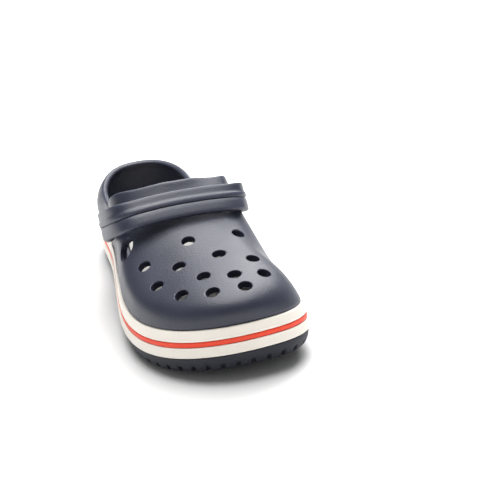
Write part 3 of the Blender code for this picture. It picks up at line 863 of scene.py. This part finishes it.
STAGE_SIZE = 60.0
STAGE_GREY = (0.72, 0.72, 0.72, 1)
STAGE_OVAL = (2.0, 1.0, 1.0)         # the glow's span is half as wide across the foot
GLOW_SPAN = (0.16, 0.34)             # distance at which the glow starts and is full
GLOW = 0.7
WHITE = (1, 1, 1, 1)
WORLD_LIGHT, WORLD_SEEN = 0.30, 0.95
LIGHT_TARGET = (0.0, -0.03, 0.03)


def make_floor():
    """Pale floor under the clog that glows brighter away from it: painted light, which leaves a
    painted shadow round the clog.
    """
    bpy.ops.mesh.primitive_plane_add(size=STAGE_SIZE, location=(0, 0, 0))
    floor = bpy.context.object
    floor.name = "pale_floor"
    material = bpy.data.materials.new("pale_floor")
    material.use_nodes = True
    shader = material.node_tree.nodes["Principled BSDF"]
    shader.inputs["Base Color"].default_value = STAGE_GREY
    shader.inputs["Roughness"].default_value = 0.9
    shader.inputs["Specular IOR Level"].default_value = 0.1
    shader.inputs["Emission Color"].default_value = WHITE
    tree = material.node_tree
    oval = node(tree, "ShaderNodeVectorMath", {1: STAGE_OVAL}, operation="MULTIPLY")
    tree.links.new(node(tree, "ShaderNodeTexCoord").outputs["Object"], oval.inputs[0])
    away = node(tree, "ShaderNodeVectorMath", {0: oval.outputs["Vector"]}, operation="LENGTH")
    # painted light: the floor's emission grows with distance from the clog, so the floor near it
    # looks shaded
    glow = stretch(tree, away.outputs["Value"], *GLOW_SPAN, 0.0, GLOW)
    tree.links.new(glow, shader.inputs["Emission Strength"])
    floor.data.materials.append(material)


def add_light(name, place, size, power):
    """Round softbox that faces the clog."""
    lamp = bpy.data.lights.new(name, "AREA")
    lamp.shape = "DISK"
    lamp.size = size
    lamp.energy = power
    obj = bpy.data.objects.new(name, lamp)
    bpy.context.scene.collection.objects.link(obj)
    obj.location = place
    way = Vector(LIGHT_TARGET) - Vector(place)
    obj.rotation_mode = "QUATERNION"
    obj.rotation_quaternion = way.to_track_quat("-Z", "Y")


def make_lights():
    """Pale surroundings, a broad key overhead, and a sheen from behind on the inner side."""
    world = bpy.data.worlds.new("studio")
    bpy.context.scene.world = world
    world.use_nodes = True
    tree = world.node_tree
    background = tree.nodes["Background"]
    background.inputs["Color"].default_value = WHITE
    seen = node(tree, "ShaderNodeLightPath").outputs["Is Camera Ray"]
    strength = stretch(tree, seen, 0.0, 1.0, WORLD_LIGHT, WORLD_SEEN)
    tree.links.new(strength, background.inputs["Strength"])
    add_light("top_softbox", (0.05, 0.08, 1.30), 1.1, 24.0)
    add_light("back_softbox", (0.58, 0.75, 1.00), 1.2, 25.0)


CAMERA_AZIMUTH, CAMERA_ELEVATION, CAMERA_ROLL = -16.38, 24.31, -7.21
CAMERA_DISTANCE = 0.8903
CAMERA_TARGET = (0.0464, -0.0370, 0.0400)
CAMERA_LENS = 90.5
CAMERA_SENSOR = 36.0


def make_camera():
    """Camera on a sphere about its target, rolled about the line of sight."""
    turn, rise, roll = map(math.radians, (CAMERA_AZIMUTH, CAMERA_ELEVATION, CAMERA_ROLL))
    back = Vector((math.sin(turn) * math.cos(rise), -math.cos(turn) * math.cos(rise),
                   math.sin(rise)))
    across = Vector((0, 0, 1)).cross(back).normalized()
    up = back.cross(across)
    side = across * math.cos(roll) + up * math.sin(roll)
    top = up * math.cos(roll) - across * math.sin(roll)
    matrix = Matrix((side, top, back)).transposed().to_4x4()
    matrix.translation = Vector(CAMERA_TARGET) + back * CAMERA_DISTANCE
    camera = bpy.data.objects.new("camera", bpy.data.cameras.new("camera"))
    bpy.context.scene.collection.objects.link(camera)
    camera.matrix_world = matrix
    camera.data.lens = CAMERA_LENS
    camera.data.sensor_width = CAMERA_SENSOR
    bpy.context.scene.camera = camera


def main():
    make_camera()
    make_floor()
    make_lights()
    materials = make_materials()
    make_midsole(materials["white"])
    make_stripe(materials["red"])
    make_outsole(materials["tread"])
    make_insole(materials["insole"])
    make_shell(materials["shell"])
    make_strap(materials["strap"])
    make_pivots(materials)
    bpy.context.scene.view_settings.view_transform = "Standard"


main()
